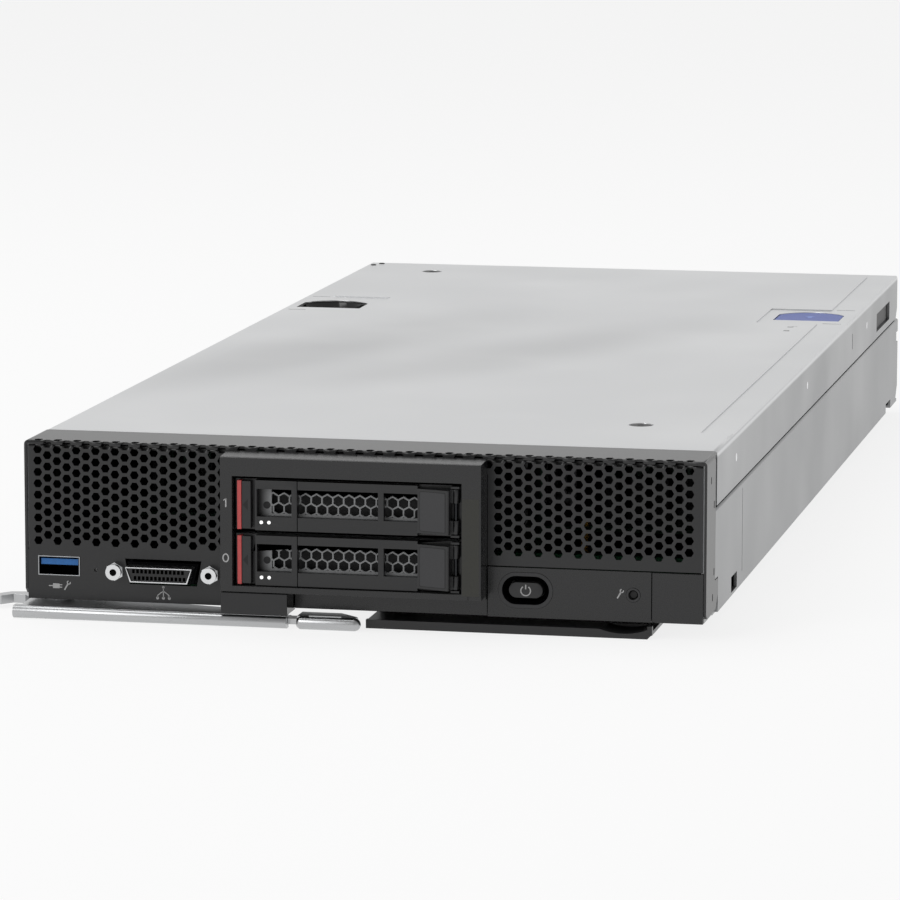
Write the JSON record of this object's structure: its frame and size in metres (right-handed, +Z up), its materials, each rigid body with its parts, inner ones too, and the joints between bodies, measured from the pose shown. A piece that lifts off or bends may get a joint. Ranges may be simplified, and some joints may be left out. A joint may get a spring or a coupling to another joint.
{
  "type": "blade server node",
  "caption": "Half-width blade server node with a perforated front, pull-out drives, a cam handle, a pull-out tab and a sliding top cover.",
  "frame": {"origin": "middle of the base's underside, halfway between the side walls and halfway from the front panel's face to the rear edge", "axes": "+X to the right seen from the front, +Y to the rear, +Z up through the cover"},
  "size_m": [0.2277, 0.5048, 0.0551],
  "materials": {
    "galvanised_steel": "zinc-plated, satin",
    "black_steel": "satin black powder coat",
    "cover_steel": "zinc-plated, soft gloss",
    "bright_metal": "nickel plate",
    "black_plastic": "fine texture",
    "gloss_black": "gloss",
    "grey_plastic": "satin",
    "dark_chrome": "dark plate",
    "circuit_board": "solder mask over glass fibre",
    "usb_blue": "moulded",
    "connector_black": "moulded",
    "gold": "gold flash",
    "reset_red": "moulded",
    "drive_case": "bead blasted",
    "grille_grey": "satin grey",
    "red_stripe": "moulded",
    "light_window": "clear window over a light",
    "satin_silver": "satin",
    "latch_blue": "moulded",
    "brass": "turned",
    "socket_plate": "plated",
    "sink_aluminium": "plain",
    "memory_board": "solder mask with dark chips"
  },
  "bodies": {
    "chassis": {"base_tray": "galvanised_steel", "front_shroud": "black_steel", "left_grille": "black_steel", "right_grille": "black_steel", "drive_bay_frame": "black_plastic", "badge_block": "gloss_black", "control_panel": "black_plastic", "service_plate": "grey_plastic", "power_ring": "dark_chrome", "mode_button_ring": "dark_chrome", "control_board": "circuit_board", "usb_port": "bright_metal", "usb_tongue": "usb_blue", "console_connector": "bright_metal", "console_insert": "connector_black", "console_contacts": "gold", "console_posts": "bright_metal", "port_board": "circuit_board", "drive_cage": "galvanised_steel", "drive_backplane": "circuit_board", "handle_pivot": "bright_metal", "tab_guides": "galvanised_steel", "system_board": "circuit_board", "standoffs": "brass", "processor_sockets": "socket_plate", "heat_sinks": "sink_aluminium", "memory_sockets": "connector_black", "memory_modules": "memory_board", "io_adapters": "circuit_board", "rear_connectors": "connector_black", "power_connector": "connector_black"},
    "power_button": {"power_button": "black_plastic"},
    "mode_button": {"mode_button": "black_plastic"},
    "reset_button": {"reset_button": "reset_red"},
    "lower_drive_unit": {"lower_carrier": "black_plastic", "lower_drive": "drive_case", "lower_grille": "grille_grey", "lower_pin": "bright_metal", "lower_lights": "light_window"},
    "lower_lever": {"lower_lever": "black_plastic"},
    "lower_catch": {"lower_catch": "black_plastic", "lower_stripe": "red_stripe"},
    "upper_drive_unit": {"upper_carrier": "black_plastic", "upper_drive": "drive_case", "upper_grille": "grille_grey", "upper_pin": "bright_metal", "upper_lights": "light_window"},
    "upper_lever": {"upper_lever": "black_plastic"},
    "upper_catch": {"upper_catch": "black_plastic", "upper_stripe": "red_stripe"},
    "handle": {"handle_lever": "galvanised_steel", "handle_grip": "satin_silver"},
    "handle_catch": {"handle_catch": "satin_silver"},
    "pull_out_tab": {"pull_out_tab": "black_steel"},
    "cover": {"top_cover": "cover_steel", "cover_studs": "bright_metal", "latch_bracket": "galvanised_steel", "latch_pin": "bright_metal", "finger_cup": "gloss_black"},
    "cover_latch": {"cover_latch": "latch_blue"}
  },
  "joints": [
    {"name": "power_button_press", "type": "slide", "parent": "chassis", "child": "power_button", "axis": [0, 1, 0], "range_m": [0, 0.0012], "stiffness_N_per_m": 250, "springref_m": -0.002},
    {"name": "mode_button_press", "type": "slide", "parent": "chassis", "child": "mode_button", "axis": [0, 1, 0], "range_m": [0, 0.0006], "stiffness_N_per_m": 250, "springref_m": -0.002},
    {"name": "reset_button_press", "type": "slide", "parent": "chassis", "child": "reset_button", "axis": [0, 1, 0], "range_m": [0, 0.0005], "stiffness_N_per_m": 250, "springref_m": -0.002},
    {"name": "handle_catch_slide", "type": "slide", "parent": "handle", "child": "handle_catch", "axis": [-1, 0, 0], "range_m": [0, 0.002], "stiffness_N_per_m": 400, "springref_m": -0.003},
    {"name": "handle_swing", "type": "hinge", "parent": "chassis", "child": "handle", "pos_m": [-0.09875, -0.23735, -0.002], "axis": [0, 0, -1], "range_deg": [0, 72]},
    {"name": "tab_pull", "type": "slide", "parent": "chassis", "child": "pull_out_tab", "axis": [0, -1, 0], "range_m": [0, 0.065]},
    {"name": "cover_slide", "type": "slide", "parent": "chassis", "child": "cover", "axis": [0, 1, 0], "range_m": [0, 0.013]},
    {"name": "cover_latch_lift", "type": "hinge", "parent": "cover", "child": "cover_latch", "pos_m": [0, 0.10055, 0.0483], "axis": [1, 0, 0], "range_deg": [0, 45], "stiffness_Nm_per_rad": 0.02, "springref_deg": -17.19},
    {"name": "lower_drive_pull", "type": "slide", "parent": "chassis", "child": "lower_drive_unit", "axis": [0, -1, 0], "range_m": [0, 0.11]},
    {"name": "lower_lever_swing", "type": "hinge", "parent": "lower_drive_unit", "child": "lower_lever", "pos_m": [0.03155, -0.25435, 0.017], "axis": [0, 0, 1], "range_deg": [0, 60]},
    {"name": "lower_catch_slide", "type": "slide", "parent": "lower_drive_unit", "child": "lower_catch", "axis": [-1, 0, 0], "range_m": [0, 0.0011], "stiffness_N_per_m": 250, "springref_m": -0.002},
    {"name": "upper_drive_pull", "type": "slide", "parent": "chassis", "child": "upper_drive_unit", "axis": [0, -1, 0], "range_m": [0, 0.11]},
    {"name": "upper_lever_swing", "type": "hinge", "parent": "upper_drive_unit", "child": "upper_lever", "pos_m": [0.03155, -0.25435, 0.034], "axis": [0, 0, 1], "range_deg": [0, 60]},
    {"name": "upper_catch_slide", "type": "slide", "parent": "upper_drive_unit", "child": "upper_catch", "axis": [-1, 0, 0], "range_m": [0, 0.0011], "stiffness_N_per_m": 250, "springref_m": -0.002}
  ]
}
